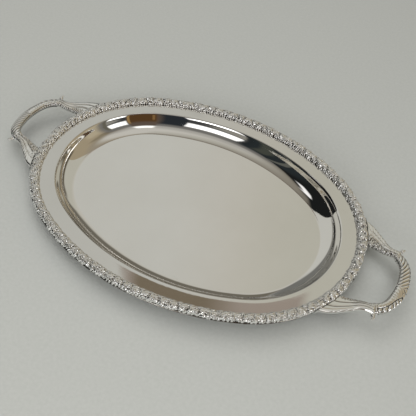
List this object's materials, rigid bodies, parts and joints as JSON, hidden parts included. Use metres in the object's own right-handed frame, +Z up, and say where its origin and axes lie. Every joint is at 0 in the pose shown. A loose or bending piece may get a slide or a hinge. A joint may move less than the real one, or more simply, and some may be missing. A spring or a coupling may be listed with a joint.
{
  "type": "serving tray",
  "caption": "Oval silver-plated serving tray: a polished pressed pan with a flat rim, a cast foliate border in lengths, and fixed reeded handles on acanthus-leaf terminals.",
  "frame": {"origin": "centre of the floor's underside, on the surface that the tray stands on", "axes": "+X along the tray's length towards one handle, +Y across its width, +Z up"},
  "size_m": [0.6314, 0.3824, 0.034],
  "materials": {
    "polished_silver": "mirror-polished silver plate on brass sheet, with faint polishing marks",
    "cast_silver": "bright cast silver plate with darker oxidised recesses",
    "plated_steel": "satin plated steel fasteners"
  },
  "bodies": {
    "root": {"tray_pan": "polished_silver", "border_end_right": "cast_silver", "border_end_left": "cast_silver", "border_rear_right": "cast_silver", "border_rear_centre": "cast_silver", "border_rear_left": "cast_silver", "border_front_right": "cast_silver", "border_front_centre": "cast_silver", "border_front_left": "cast_silver", "handle_grip_right": "cast_silver", "handle_grip_left": "cast_silver", "handle_leaf_right_rear": "cast_silver", "handle_leaf_right_front": "cast_silver", "handle_leaf_left_rear": "cast_silver", "handle_leaf_left_front": "cast_silver", "handle_screws": "plated_steel", "handle_washers": "plated_steel"}
  },
  "joints": []
}
